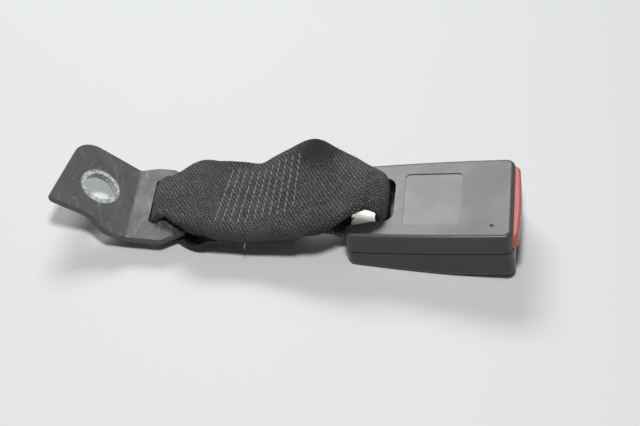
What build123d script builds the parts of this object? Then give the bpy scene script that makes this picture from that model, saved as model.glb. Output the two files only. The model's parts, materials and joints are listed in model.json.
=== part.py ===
from build123d import *
import math
import os

# Seat belt buckle on a short webbing strap with a bolted anchor plate.
#
# Units are millimetres.  The assembly lies on a table with the front cover down:
# X runs along the strap from the anchor plate to the release button, Y across
# the webbing and Z up.  Each group is drawn in a handy frame of its own:
#
# * the buckle about the rear end of its housing, x along it, z = 0 at the
#   parting line of the two covers, back cover up, then tilted on to its ramp;
# * the strap and the anchor plate in the table's frame.

# ---------------------------------------------------------------- clearances
running_gap = 0.3          # between moving plastic or sheet metal faces
pin_gap = 0.05             # radial, latch hub on its pivot pin
seat_gap = 0.15            # steel frame above the cover's floor

# ------------------------------------------------------------------- housing
housing_length = 73.1
housing_half_width = 24.1  # at the button end
side_radius = 940.0        # long convex curve of the housing's sides
rear_corner_radius = 3.5
front_corner_radius = 4.0
back_cover_height = 11.0
front_cover_depth = 13.9
rear_depth = 7.8           # front cover's depth at its rear end
belly_flat_length = 28.0   # level part of the belly, at the button end
belly_blend_radius = 120.0
cover_wall = 2.0
cover_edge_radius = 1.8
belly_edge_radius = 2.4
parting_groove = 0.5       # shadow line between the covers
housing_rear_x = 14.8      # rear bottom corner on the table

label_length = 25.1
label_width = 30.9
label_centre_x = 37.5
label_depth = 0.35
label_corner_radius = 2.2
gate_mark_x = 63.8
gate_mark_y = -16.9
gate_mark_radius = 0.8
gate_mark_depth = 0.4

notch_rear_half_width = 15.8
notch_half_width = 13.2
notch_taper_length = 12.0
notch_end_x = 20.8
notch_corner_radius = 5.0
notch_skirt = 1.3

# --------------------------------------------------------------- steel frame
frame_thickness = 2.5
frame_inner_half_width = 12.8
frame_rear_x = 1.0
frame_front_x = 66.5
base_bottom_z = 0.5
frame_bend_radius = 2.0
flange_rear_x = 3.0        # side walls start here as low flanges
wall_full_x = 24.0
webbing_bar_front_x = 12.5
webbing_slot_length = 4.8
webbing_slot_half_width = 12.7
slot_corner_radius = 2.2
bar_edge_radius = 0.8

# -------------------------------------------------------------------- tongue
tongue_half_width = 12.0
channel_bottom_z = -5.0
guide_length = 4.2
mouth_flare = 0.9

# --------------------------------------------------------------------- latch
latch_thickness = 2.0
latch_half_width = 11.8
latch_top_z = -5.2
latch_rear_x = 44.5
latch_plate_front_x = 55.5
pivot_x = 60.5
pivot_z = -8.4
pivot_radius = 1.75
hub_radius = 3.0
cheek_thickness = 2.0
nose_length = 3.1
nose_half_width = 5.0
nose_reach = 0.4           # into the frame's window
nose_ramp_drop = 2.5
ear_x = 49.5
ear_length = 3.0
ear_half_span = 17.9
latch_angle = 14.5         # degrees, nose clear of the tongue

# -------------------------------------------------------------------- button
button_travel = 4.5
button_proud = 2.9         # beyond the housing's end
button_crown = 0.9
button_corner_radius = 3.0
button_edge_radius = 1.1
button_bottom_z = 0.9
button_face_depth = 4.7
button_body_rear_x = 63.0
button_wall = 1.6
arm_thickness = 2.5
arm_rear_x = 48.0
arm_bottom_z = -4.6
arm_top_z = 2.6
hook_half_span = 19.6
hook_length = 2.5
cam_front_x = 57.0

# ------------------------------------------------------------------- ejector
ejector_travel = 7.5
ejector_rear_x = 35.0
ejector_bar_length = 3.5
ejector_front_x = 53.0
ejector_bottom_z = -4.6
fork_inner_y = 6.0
fork_outer_y = 10.5
keel_half_width = 2.7
keel_head_half_width = 4.2
keel_head_height = 1.5
spring_tab_thickness = 2.2

# ------------------------------------------------------------------- springs
button_spring_radius = 1.6
button_spring_wire = 0.3   # wire radius
button_spring_y = 17.6
button_spring_z = -1.5
button_spring_length = 10.8
button_spring_turns = 6
coil_corners = 8           # straight runs in a turn of a spring
ejector_spring_radius = 1.9
ejector_spring_wire = 0.3
ejector_spring_z = -2.2
ejector_spring_turns = 7
ejector_pocket_depth = 2.0
latch_spring_wire = 0.35
latch_spring_slack = 0.35  # from the pin to the inside of the coil
latch_spring_pitch = 1.35  # in wire diameters
latch_spring_turns = 4
latch_spring_leg = 9.0
leg_gap = 0.05
peg_length = 2.4

# ------------------------------------------------------------------- webbing
webbing_half_width = 23.5
webbing_thickness = 1.3
ply_step = 1.15            # sewn plies are pressed together
fold_half_width = 12.2     # webbing gathered for the slots
anchor_fold_x = -67.5      # axis of the fold round the anchor's bar
anchor_fold_radius = 6.85  # to the middle of the webbing
frame_fold_x = 24.5        # axis of the fold round the frame's bar
frame_fold_z = 10.5
frame_fold_radius = 4.9

# -------------------------------------------------------------- anchor plate
plate_thickness = 3.0
plate_bend_x = -83.0
plate_bend_angle = 28.0
plate_bend_radius = 3.0    # inside of the bend
plate_end_x = -58.0
plate_near_y = -23.2
plate_far_y = 20.5
plate_bend_near_y = -22.9
plate_bend_far_y = 18.5
plate_corner_x = -68.5
plate_end_near_y = -16.0
plate_end_far_y = 14.5
plate_corner_radius = 3.0
anchor_slot_front_x = -70.5
anchor_slot_length = 5.0
anchor_slot_half_width = 13.5
bolt_hole_radius = 7.0
bolt_hole_u = 15.9         # from the bend, along the flag
bolt_hole_y = -0.6
flag_far_u = 29.3
flag_far_y = 22.9
flag_end_u = 37.2
flag_near_y = -18.0
flag_waist_u = 17.7
flag_shoulder_u = 8.5
flag_shoulder_y = -23.9
flag_far_radius = 10.0
flag_near_radius = 2.5
flag_waist_radius = 12.0
flag_shoulder_radius = 7.0

# ------------------------------------------------------------ derived values
frame_outer_half_width = frame_inner_half_width + frame_thickness
base_top_z = base_bottom_z + frame_thickness
belly_kink_x = housing_length - belly_flat_length
ramp_slope = (front_cover_depth - rear_depth) / belly_kink_x
tilt = math.degrees(math.atan(ramp_slope))
roof_z = back_cover_height - cover_wall
arm_inner_y = frame_outer_half_width + running_gap + 0.1
arm_outer_y = arm_inner_y + arm_thickness
anchor_fold_z = anchor_fold_radius + webbing_thickness / 2
button_front_x = housing_length + button_proud
mouth_rear_x = housing_length - cover_wall
release_ratio = latch_angle / button_travel
housing_origin = (
    housing_rear_x - rear_depth * math.sin(math.radians(tilt)),
    rear_depth * math.cos(math.radians(tilt)),
)
IN_HOUSING = Location((housing_origin[0], 0, housing_origin[1]), (0, -tilt, 0))


# ------------------------------------------------------------- small helpers
def block(x0, x1, y0, y1, z0, z1):
    corner = (Align.MIN, Align.MIN, Align.MIN)
    return Pos(x0, y0, z0) * Box(x1 - x0, y1 - y0, z1 - z0, align=corner)


def both_sides(part):
    return part + mirror(part, Plane.XZ)


def side_slab(points, y0, y1):
    """Plate whose outline is drawn in X and Z, from y0 to y1."""
    outline = make_face(Polyline(*points, close=True))
    return extrude(Plane.XZ.offset(-y0) * outline, y0 - y1)


def rod_y(x, z, radius, y0, y1):
    """Round rod or hole along Y."""
    return extrude(Plane.XZ.offset(-y0) * Pos(x, z) * Circle(radius), y0 - y1)


def rod_x(x0, x1, y, z, radius):
    """Round rod or hole along X."""
    return extrude(Plane.YZ.offset(x0) * Pos(y, z) * Circle(radius), x1 - x0)


def floor_z(x):
    """Inside floor of the front cover."""
    thickness = cover_wall / math.cos(math.radians(tilt))
    ramp = -rear_depth - ramp_slope * x + thickness
    return max(ramp, cover_wall - front_cover_depth)


def housing_half_width_at(x):
    drop = side_radius - math.sqrt(side_radius**2 - (housing_length - x) ** 2)
    return housing_half_width - drop


def coil_points(radius, pitch, turns):
    """Points of a helix along +Z, a few for each turn."""
    points = []
    for step in range(turns * coil_corners + 1):
        turn = step / coil_corners
        angle = 2 * math.pi * turn
        points.append((radius * math.cos(angle), radius * math.sin(angle), pitch * turn))
    return points


def bent_wire(points, wire):
    """Six-sided wire along straight runs."""
    path = Polyline(*points)
    section = Plane(origin=path @ 0, z_dir=path % 0) * RegularPolygon(wire, 6)
    return sweep(section, path=path, transition=Transition.RIGHT)


def coil_spring(radius, wire, length, turns):
    """Compression spring along +Z from the origin, wire ends inside length."""
    pitch = (length - 2 * wire) / turns
    return Pos(0, 0, wire) * bent_wire(coil_points(radius, pitch, turns), wire)


# ------------------------------------------------------------------- housing
def plan_outline():
    """Housing seen from above: square ends and long convex sides."""
    middle = housing_length / 2
    rear, mid, front = (
        (x, housing_half_width_at(x)) for x in (0, middle, housing_length)
    )
    far = ThreePointArc(rear, mid, front)
    near = ThreePointArc((front[0], -front[1]), (mid[0], -mid[1]), (rear[0], -rear[1]))
    ends = Line(far @ 1, near @ 0) + Line(near @ 1, far @ 0)
    face = make_face(Curve() + [far, near, ends])
    face = fillet(face.vertices().group_by(Axis.X)[0], rear_corner_radius)
    return fillet(face.vertices().group_by(Axis.X)[-1], front_corner_radius)


def notch_outline():
    """Opening over the webbing bar, wide at the rear and closed in front."""
    rear, waist, end = -1.0, notch_taper_length, notch_end_x
    wide, narrow = notch_rear_half_width, notch_half_width
    points = [(rear, wide), (0, wide), (waist, narrow), (end, narrow)]
    mirrored = [(x, -y) for x, y in reversed(points)]
    face = make_face(Polyline(*points, *mirrored, close=True))
    return fillet(face.vertices().group_by(Axis.X)[-1], notch_corner_radius)


def make_back_cover():
    outline = plan_outline()
    inside = offset(outline, -cover_wall)
    cover = extrude(outline, back_cover_height)
    cover = fillet(cover.faces().sort_by(Axis.Z)[-1].edges(), cover_edge_radius)
    cover -= extrude(inside, roof_z)
    groove = extrude(outline, parting_groove)
    cover -= groove - extrude(offset(outline, -parting_groove), parting_groove)
    skirt = extrude(offset(notch_outline(), notch_skirt), roof_z)
    skirt &= block(cover_wall, housing_length, -25, 25, base_top_z + running_gap, roof_z)
    cover += skirt
    cover += back_cover_posts()
    cover -= extrude(notch_outline(), back_cover_height)
    cover -= button_window()
    cover -= label_recess()
    cover -= Pos(gate_mark_x, gate_mark_y, back_cover_height) * Sphere(gate_mark_radius)
    return cover


def back_cover_posts():
    """Ribbed posts that press the steel frame on to the front cover."""
    post = Cylinder(1.8, roof_z - base_top_z, align=(Align.CENTER, Align.CENTER, Align.MIN))
    rib_height = 3.0
    posts = Part()
    for x in (26.5, 54.0):
        for y in (-9.0, 9.0):
            posts += Pos(x, y, base_top_z) * post
            posts += block(x - 0.6, x + 0.6, -9.0, 9.0, roof_z - rib_height, roof_z)
    return posts


def button_window():
    """The whole end of the cover below its roof is open for the button."""
    half = housing_half_width - cover_wall
    return block(mouth_rear_x - 2.0, housing_length + 1, -half, half, -1, roof_z)


def label_recess():
    """Bare recessed field of the moulded label."""
    field = RectangleRounded(label_length, label_width, label_corner_radius)
    return Pos(label_centre_x, 0, back_cover_height - label_depth) * extrude(field, 1)


def belly_outline():
    """Side view of the front cover: level belly, then a ramp to the rear."""
    points = [
        (0, 0),
        (housing_length, 0),
        (housing_length, -front_cover_depth),
        (belly_kink_x, -front_cover_depth),
        (0, -rear_depth),
    ]
    face = make_face(Polyline(*points, close=True))
    kink = face.vertices().sort_by_distance((belly_kink_x, -front_cover_depth, 0))[0]
    return fillet(kink, belly_blend_radius)


def make_front_cover():
    outline = plan_outline()
    width = 2 * housing_half_width
    cover = extrude(outline, -front_cover_depth - 1)
    cover &= extrude(Plane.XZ * belly_outline(), width, both=True)
    belly = cover.faces().filter_by(lambda face: face.normal_at().Z < -0.9)
    seams = cover.edges().filter_by(Axis.Y)
    rim = [edge for face in belly for edge in face.edges()]
    inner = [e for e in seams if 1 < e.center().X < housing_length - 1]
    rim = [e for e in rim if not any(e.is_same(seam) for seam in inner)]
    cover = fillet(unique_edges(rim), belly_edge_radius)
    cover -= front_cover_cavity()
    cover -= webbing_exit()
    cover -= tongue_mouth()
    return cover + front_cover_ribs()


def unique_edges(edges):
    kept = []
    for edge in edges:
        if not any(edge.is_same(other) for other in kept):
            kept.append(edge)
    return kept


def front_cover_cavity():
    inside = extrude(offset(plan_outline(), -cover_wall), -front_cover_depth)
    points = [(0, 0), (housing_length, 0), (housing_length, floor_z(housing_length))]
    points += [(kink_inside_x(), floor_z(housing_length)), (0, floor_z(0))]
    return inside & side_slab(points, -housing_half_width, housing_half_width)


def kink_inside_x():
    """Where the inside ramp meets the level floor."""
    return (floor_z(0) - floor_z(housing_length)) / ramp_slope


def webbing_exit():
    """Open rear end, where the lower webbing ply leaves."""
    half = notch_rear_half_width
    return block(-1, cover_wall + 0.5, -half, half, floor_z(0), 1)


def tongue_mouth():
    """Slot below the button, flared towards the outside."""
    half = tongue_half_width + 0.6
    points = [
        (mouth_rear_x - 1, 1),
        (housing_length + 1, 1),
        (housing_length + 1, channel_bottom_z - mouth_flare),
        (housing_length, channel_bottom_z - mouth_flare),
        (mouth_rear_x, channel_bottom_z),
        (mouth_rear_x - 1, channel_bottom_z),
    ]
    return side_slab(points, -half, half)


def front_cover_ribs():
    """Spring seats, button stops and cross ribs, all standing on the floor."""
    seat_front = arm_rear_x - button_spring_length
    seat_rear = seat_front - 2.0
    seat_outer = housing_half_width_at(seat_front) - cover_wall + 0.5
    low = floor_z(seat_rear) - 0.5
    seat_inner = frame_outer_half_width + running_gap
    seat = block(seat_rear, seat_front, seat_inner, seat_outer, low, 0)
    seat += rod_x(seat_front, seat_front + peg_length, button_spring_y, button_spring_z, 1.0)
    stop_rear = arm_rear_x + hook_length + running_gap
    stop_outer = housing_half_width_at(stop_rear) - cover_wall + 0.5
    stop = block(stop_rear, stop_rear + 1.6, arm_outer_y + 0.4, stop_outer, low - 2, 0)
    deep = floor_z(housing_length) - 0.5
    end_stop = block(
        frame_front_x + seat_gap, frame_front_x + 1.6,
        frame_inner_half_width, frame_outer_half_width, deep, channel_bottom_z - 2.4,
    )
    return both_sides(seat + stop + end_stop)


# --------------------------------------------------------------- steel frame
def make_buckle_frame():
    half = frame_outer_half_width
    plate = block(frame_rear_x, frame_front_x, -half, half, base_bottom_z, base_top_z)
    frame = plate + both_sides(frame_wall())
    top_edges = frame.edges().filter_by(Axis.X).group_by(Axis.Z)[-1]
    frame = fillet(top_edges, frame_bend_radius)
    frame -= webbing_slot()
    frame = fillet(slot_rims(frame), bar_edge_radius)
    frame -= nose_window()
    frame -= keel_slot()
    frame -= rod_y(pivot_x, pivot_z, pivot_radius, -half - 1, half + 1)
    frame -= ear_windows()
    return frame + spring_tab()


def frame_wall():
    """Side wall: deep along the mechanism, a low flange beside the bar."""
    bottom = [(x, floor_z(x) + seat_gap) for x in (wall_full_x, kink_inside_x())]
    points = [
        (flange_rear_x, base_bottom_z + 0.5),
        (flange_rear_x, base_bottom_z),
        (webbing_bar_front_x + webbing_slot_length, -2.0),
        *bottom,
        (frame_front_x, floor_z(frame_front_x) + seat_gap),
        (frame_front_x, base_bottom_z + 0.5),
    ]
    return side_slab(points, frame_inner_half_width, frame_outer_half_width)


def webbing_slot():
    length, half = webbing_slot_length, webbing_slot_half_width
    outline = RectangleRounded(length, 2 * half, slot_corner_radius)
    centre = webbing_bar_front_x + length / 2
    return Pos(centre, 0, base_bottom_z - 1) * extrude(outline, frame_thickness + 2)


def slot_rims(frame):
    """Both rims of the webbing slot, rounded so that they don't cut it."""
    x0 = webbing_bar_front_x - 0.1
    x1 = webbing_bar_front_x + webbing_slot_length + 0.1
    rims = []
    for edge in frame.edges():
        box = edge.bounding_box()
        flat = box.max.Z - box.min.Z < 0.01
        inside = box.min.X > x0 and box.max.X < x1 and box.size.Y < 2 * webbing_slot_half_width
        across = abs(box.center().Y) < webbing_slot_half_width + 0.1
        level = min(abs(box.min.Z - base_bottom_z), abs(box.min.Z - base_top_z)) < 0.01
        if flat and inside and across and level:
            rims.append(edge)
    return rims


def nose_window():
    half = nose_half_width + 0.8
    front = latch_rear_x + nose_length + 1.4
    return block(latch_rear_x - 0.9, front, -half, half, base_bottom_z - 1, base_top_z + 1)


def keel_slot():
    """Long slot that the ejector's keel slides in."""
    half = keel_half_width + running_gap
    front = ejector_rear_x + ejector_bar_length + 0.4
    return block(tab_front_x(), front, -half, half, base_bottom_z - 1, base_top_z + 1)


def tab_front_x():
    """Front face of the tab that the ejector's spring pushes on."""
    return ejector_rear_x - ejector_travel - 3.5


def spring_tab():
    """Tab bent down from the keel slot, with a stub inside the spring."""
    front = tab_front_x()
    half = keel_half_width + running_gap
    low = ejector_spring_z - ejector_spring_radius - 0.4
    tab = block(front - spring_tab_thickness, front, -half, half, low, base_bottom_z + 0.5)
    return tab + rod_x(front, front + peg_length, 0, ejector_spring_z, 1.2)


def ear_windows():
    """Openings in both walls that the latch's ears swing in."""
    low = latch_top_z - latch_thickness - 3.4
    half = frame_outer_half_width + 1
    return block(ear_x - 1.4, ear_x + ear_length + 0.8, -half, half, low, latch_top_z + 0.5)


# --------------------------------------------------------------------- latch
def make_latch_plate():
    bottom = latch_top_z - latch_thickness
    half = latch_half_width
    latch = block(latch_rear_x, latch_plate_front_x, -half, half, bottom, latch_top_z)
    ears = block(ear_x, ear_x + ear_length, -ear_half_span, ear_half_span, bottom, latch_top_z)
    latch += ears
    latch += both_sides(latch_cheek())
    latch += latch_nose()
    latch -= rod_y(pivot_x, pivot_z, pivot_radius + pin_gap, -half - 1, half + 1)
    return latch


def latch_cheek():
    """Side arm from the plate down to the pivot."""
    bottom = latch_top_z - latch_thickness
    points = [
        (ear_x - 2.0, latch_top_z - 0.5),
        (ear_x - 2.0, bottom),
        (pivot_x - 1.0, pivot_z - hub_radius + 0.16),
        (pivot_x, pivot_z),
        (pivot_x, latch_top_z - 0.25),
        (latch_plate_front_x, latch_top_z),
    ]
    inner, outer = latch_half_width - cheek_thickness, latch_half_width
    arm = side_slab(points, inner, outer)
    return arm + rod_y(pivot_x, pivot_z, hub_radius, inner, outer)


def latch_nose():
    """Upright locking nose; its front is a ramp for the tongue."""
    top = base_bottom_z + nose_reach
    front = latch_rear_x + nose_length
    points = [
        (latch_rear_x, latch_top_z - 0.5),
        (latch_rear_x, top),
        (latch_rear_x + 1.1, top),
        (front, top - nose_ramp_drop),
        (front, latch_top_z - 0.5),
    ]
    return side_slab(points, -nose_half_width, nose_half_width)


def make_latch_pivot_pin():
    half = frame_outer_half_width
    pin = rod_y(pivot_x, pivot_z, pivot_radius, -half, half)
    return chamfer(pin.edges().filter_by(GeomType.CIRCLE), 0.3)


def make_latch_spring():
    """Torsion spring round the pin: one leg lifts the latch, one stands on the floor."""
    radius = pivot_radius + latch_spring_wire + latch_spring_slack
    pitch = latch_spring_pitch * 2 * latch_spring_wire
    half_width = pitch * latch_spring_turns / 2
    leg_z = latch_top_z - latch_thickness - latch_spring_wire - leg_gap
    upper_angle = math.asin((leg_z - pivot_z) / radius)
    lower_angle = -math.pi / 2
    swept = 2 * math.pi * latch_spring_turns + upper_angle - lower_angle
    count = round(swept / (2 * math.pi) * coil_corners)
    points = [(pivot_x - latch_spring_leg, -half_width, pivot_z - radius)]
    for step in range(count + 1):
        angle = lower_angle + swept * step / count
        y = half_width * (2 * step / count - 1)
        points.append((pivot_x - radius * math.cos(angle), y, pivot_z + radius * math.sin(angle)))
    points.append((pivot_x - latch_spring_leg, half_width, leg_z))
    return bent_wire(points, latch_spring_wire)


# -------------------------------------------------------------------- button
def make_release_button():
    button = button_block()
    button += both_sides(button_arm())
    return button


def button_half_width():
    return housing_half_width - cover_wall - running_gap - 0.1


def button_block():
    """Crowned push face with a hollow body above the steel frame."""
    half = button_half_width()
    top = roof_z - running_gap
    edge_x = button_front_x - button_crown
    crown = ThreePointArc((edge_x, -half), (button_front_x, 0), (edge_x, half))
    rear = button_body_rear_x
    sides = Polyline((edge_x, half), (rear, half), (rear, -half), (edge_x, -half))
    face = make_face(Curve() + [crown, sides])
    face = fillet(face.vertices().group_by(Axis.X)[-1], button_corner_radius)
    body = Pos(0, 0, button_bottom_z) * extrude(face, top - button_bottom_z)
    front = body.edges().filter_by(lambda e: e.bounding_box().min.X > edge_x - 3.5)
    rims = [e for e in front if e.bounding_box().size.Z < 0.01]
    body = fillet(rims, button_edge_radius)
    shelf_z = base_top_z + running_gap + 0.1
    back_x = button_front_x - button_face_depth
    body -= block(rear - 1, back_x, -half - 1, half + 1, button_bottom_z - 1, shelf_z)
    hollow_half = half - button_wall
    roof = top - button_wall
    return body - block(
        rear - 1, button_front_x - 2.4, -hollow_half, hollow_half, shelf_z + button_wall, roof
    )


def button_arm():
    """Arm outside the frame's wall, with its cam, hook and spring peg."""
    shelf_z = base_top_z + running_gap + 0.1
    front = mouth_rear_x - running_gap
    inner, outer = arm_inner_y, arm_outer_y
    arm = block(arm_rear_x, front, inner, outer, arm_bottom_z, arm_top_z)
    arm += block(button_body_rear_x, front, inner, outer, arm_top_z - 0.5, shelf_z + 1)
    arm += block(
        arm_rear_x, arm_rear_x + hook_length, inner, hook_half_span, arm_bottom_z, arm_top_z
    )
    arm += side_slab(cam_points(), inner, outer)
    peg_x = arm_rear_x - peg_length
    return arm + rod_x(peg_x, arm_rear_x, button_spring_y, button_spring_z, 1.0)


def cam_points():
    """Wedge under the arm that pushes the latch's ear down."""
    corner_x = ear_x + ear_length
    lift = 0.12
    slope = cam_slope()
    start_z = arm_bottom_z + 0.2
    start_x = corner_x - (start_z - latch_top_z - lift) / slope
    end_z = latch_top_z + lift - slope * (cam_front_x - corner_x)
    return [(start_x, start_z), (cam_front_x, end_z), (cam_front_x, start_z)]


def cam_slope():
    """Slope that follows the ear's corner through the release angle."""
    angle = math.radians(latch_angle)
    dx, dz = ear_x + ear_length - pivot_x, latch_top_z - pivot_z
    moved_x = dx * math.cos(angle) - dz * math.sin(angle)
    moved_z = dx * math.sin(angle) + dz * math.cos(angle)
    return (dz - moved_z) / (button_travel - (dx - moved_x))


# ------------------------------------------------------------------- ejector
def make_ejector():
    """Forked slider under the base plate, hung from it by a keel."""
    top = base_bottom_z - running_gap
    rear, bar = ejector_rear_x, ejector_rear_x + ejector_bar_length
    half = frame_inner_half_width - running_gap
    slider = block(rear, bar, -half, half, ejector_bottom_z, top)
    fork = block(bar - 0.5, ejector_front_x, fork_inner_y, fork_outer_y, ejector_bottom_z, top)
    tip = fork.edges().filter_by(Axis.Y).group_by(Axis.X)[-1]
    slider += both_sides(chamfer(tip, 0.8))
    keel_top = base_top_z + running_gap
    slider += block(rear, bar, -keel_half_width, keel_half_width, top - 0.5, keel_top)
    head = keel_head_half_width
    slider += block(rear, bar + 0.5, -head, head, keel_top, keel_top + keel_head_height)
    pocket = ejector_spring_radius + ejector_spring_wire + 0.3
    return slider - rod_x(rear - 1, rear + ejector_pocket_depth, 0, ejector_spring_z, pocket)


def make_tongue_guide():
    """Plastic guide that centres the tongue between the frame and the mouth."""
    front = mouth_rear_x - seat_gap
    rear = front - guide_length
    side_x = max(rear, frame_front_x + 1.6 + seat_gap)
    inner, outer = tongue_half_width + 0.5, frame_outer_half_width
    low = floor_z(housing_length)
    side = block(side_x, front, inner, outer, low, -0.2)
    lip_top = channel_bottom_z
    lip = block(side_x, front, -inner - 0.5, inner + 0.5, lip_top - 1.6, lip_top)
    lip_edge = lip.edges().filter_by(Axis.Y).group_by(Axis.Z)[-1]
    foot = block(side_x, front, -1.0, 1.0, low, lip_top - 1)
    return both_sides(side) + chamfer(lip_edge, 0.6) + foot


# ------------------------------------------------------------------- springs
def make_button_spring(side):
    spring = coil_spring(
        button_spring_radius, button_spring_wire, button_spring_length, button_spring_turns
    )
    seat_x = arm_rear_x - button_spring_length
    place = Location((seat_x, side * button_spring_y, button_spring_z), (0, 90, 0))
    return place * spring


def make_ejector_spring():
    start = tab_front_x()
    length = ejector_rear_x + ejector_pocket_depth - start
    spring = coil_spring(
        ejector_spring_radius, ejector_spring_wire, length, ejector_spring_turns
    )
    return Location((start, 0, ejector_spring_z), (0, 90, 0)) * spring


# ------------------------------------------------------------------- webbing
class Station:
    """One cross-section of the webbing: middle, half width, crown and roll."""

    def __init__(self, x, z, half, crown=0.3, roll=0.0, heading=None):
        self.x, self.z, self.half = x, z, half
        self.crown, self.roll, self.heading = crown, roll, heading


def fold_stations(x, z, radius, start, end, half, crown):
    """Sections round a bar; angles in degrees, measured in X and Z."""
    count = 8
    stations = []
    for step in range(count + 1):
        angle = math.radians(start + (end - start) * step / count)
        heading = angle + math.copysign(math.pi / 2, end - start)
        side = (x + radius * math.cos(angle), z + radius * math.sin(angle))
        stations.append(Station(*side, half, crown, heading=heading))
    return stations


def sewn_station(x, ply):
    """Section of the sewn stack; ply 0 is the top one, and each lower one is a little narrower."""
    rise = max(0.0, (x + 29.0) / 20.0)
    height = 13.9 + 9.6 * rise - ply * ply_step
    crown = 0.3 if ply == 0 else -0.3
    return Station(x, height, webbing_half_width - 0.2 * ply, crown, 0.28 * rise)


def anchor_side_stations():
    """From the third ply's end, round the anchor's bar, to the sewn top ply."""
    floor = webbing_thickness / 2
    under = [sewn_station(x, 2) for x in (-9, -16, -23, -29, -36, -41)]
    under += [
        Station(-46, 8.6, 23.3, 0.6),
        Station(-50, 4.6, 22.8, 0.8),
        Station(-54, 1.9, 22.0, 0.8),
        Station(-58, floor + 0.1, 20.0, 0.5),
        Station(-63, floor, 16.0, 0.4),
    ]
    fold = fold_stations(
        anchor_fold_x, anchor_fold_z, anchor_fold_radius, 270, 90, fold_half_width, 0.8
    )
    over = [
        Station(-64.0, 15.3, 15.6, 1.0),
        Station(-60.5, 16.8, 18.6, 1.4),
        Station(-56, 17.4, 21.2, 1.6),
        Station(-52, 16.3, 22.6, 1.2),
        Station(-48, 14.7, 23.2, 0.6),
    ]
    top = [sewn_station(x, 0) for x in (-43, -36, -29)]
    return under + fold + over + top


def frame_side_stations():
    """From the sewn top ply, over the arch, round the frame's bar and back."""
    top = [sewn_station(x, 0) for x in (-29, -23, -16, -9)]
    over = [
        Station(-4, 26.0, 23.4, 0.6, 0.28),
        Station(0, 27.2, 22.6, 0.9, 0.25),
        Station(4.5, 28.2, 20.8, 1.3, 0.18),
        Station(9, 29.6, 18.6, 1.8, 0.12),
        Station(14, 31.2, 16.2, 2.4, 0.05),
        Station(18, 32.0, 14.6, 2.8, 0.0),
        Station(22, 31.6, 13.3, 3.0, 0.0),
        Station(25.5, 29.4, 12.5, 3.0, 0.0),
        Station(28.2, 25.2, fold_half_width, 2.6, 0.0),
        Station(29.6, 20.0, fold_half_width, 2.2, 0.0),
        Station(29.8, 15.0, fold_half_width, 1.6, 0.0),
    ]
    fold = fold_stations(
        frame_fold_x, frame_fold_z, frame_fold_radius, 0, -90, fold_half_width, 0.8
    )
    level = frame_fold_z - frame_fold_radius
    under = [
        Station(19, level, fold_half_width, 0.5),
        Station(14.5, level + 0.3, fold_half_width, 0.5),
        Station(11, 7.4, 13.2, 0.6),
        Station(7, 11.6, 14.8, 0.6, 0.04),
        Station(3, 15.8, 17.0, 0.5, 0.10),
        Station(-1, 19.4, 19.6, 0.4, 0.18),
        Station(-5, 21.7, 22.0, 0.3, 0.25),
    ]
    under += [sewn_station(x, 1) for x in (-9, -16, -23, -29, -36, -43)]
    return top + over + fold + under


def set_headings(stations):
    """Direction of travel at each station, from its neighbours."""
    last = len(stations) - 1
    for i, station in enumerate(stations):
        if station.heading is None:
            before, after = stations[max(i - 1, 0)], stations[min(i + 1, last)]
            station.heading = math.atan2(after.z - before.z, after.x - before.x)
    return stations


def webbing_section(station):
    """Curved strip section, square to the direction of travel."""
    nx, nz = -math.sin(station.heading), math.cos(station.heading)

    def point(across, level):
        push = level - station.crown * across**2
        y = across * station.half
        return (station.x + push * nx, y, station.z + push * nz + station.roll * y)

    half = webbing_thickness / 2
    outer = ThreePointArc(point(-1, half), point(0, half), point(1, half))
    inner = ThreePointArc(point(1, -half), point(0, -half), point(-1, -half))
    sides = [Line(outer @ 1, inner @ 0), Line(inner @ 1, outer @ 0)]
    return Wire([outer.edge(), sides[0].edge(), inner.edge(), sides[1].edge()])


def strip_solids(stations):
    """Short lofts of a few sections each, joined end to end."""
    count = 6
    starts = range(0, len(stations) - 1, count)
    spans = [stations[i : i + count + 1] for i in starts]
    return [Solid.make_loft([webbing_section(s) for s in span], ruled=True) for span in spans]


def make_webbing():
    anchor_side = set_headings(anchor_side_stations())
    frame_side = set_headings(frame_side_stations())
    frame_side[0].heading = anchor_side[-1].heading = 0.0
    solids = strip_solids(anchor_side) + strip_solids(frame_side)
    return solids[0].fuse(*solids[1:])


# -------------------------------------------------------------- anchor plate
def plate_bottom_z():
    return anchor_fold_z - plate_thickness / 2


def slot_part():
    """Level part of the plate with the webbing slot."""
    points = [
        (plate_bend_x, plate_bend_far_y),
        (plate_bend_x + 7.0, plate_far_y),
        (plate_corner_x, plate_far_y),
        (plate_end_x, plate_end_far_y),
        (plate_end_x, plate_end_near_y),
        (plate_corner_x, plate_near_y),
        (plate_bend_x, plate_bend_near_y),
    ]
    face = make_face(Polyline(*points, close=True))
    ends = face.vertices().filter_by(lambda v: v.X > plate_corner_x - 0.1)
    face = fillet(ends, plate_corner_radius)
    slot = RectangleRounded(anchor_slot_length, 2 * anchor_slot_half_width, slot_corner_radius)
    face -= Pos(anchor_slot_front_x - anchor_slot_length / 2, 0) * slot
    return Pos(0, 0, plate_bottom_z()) * extrude(face, plate_thickness)


def flag_part():
    """Flag drawn flat: u runs from the bend to the bolted end."""
    points = [
        (0, plate_bend_far_y),
        (flag_far_u, flag_far_y),
        (flag_end_u, flag_near_y),
        (flag_waist_u, flag_near_y),
        (flag_shoulder_u, flag_shoulder_y),
        (0, plate_bend_near_y),
    ]
    radii = [flag_far_radius, flag_near_radius, flag_waist_radius, flag_shoulder_radius]
    face = make_face(Polyline(*points, close=True))
    for (u, y), radius in zip(points[1:5], radii):
        corner = face.vertices().sort_by_distance((u, y, 0))[0]
        face = fillet(corner, radius)
    face -= Pos(bolt_hole_u, bolt_hole_y) * Circle(bolt_hole_radius)
    return extrude(face, plate_thickness)


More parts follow.
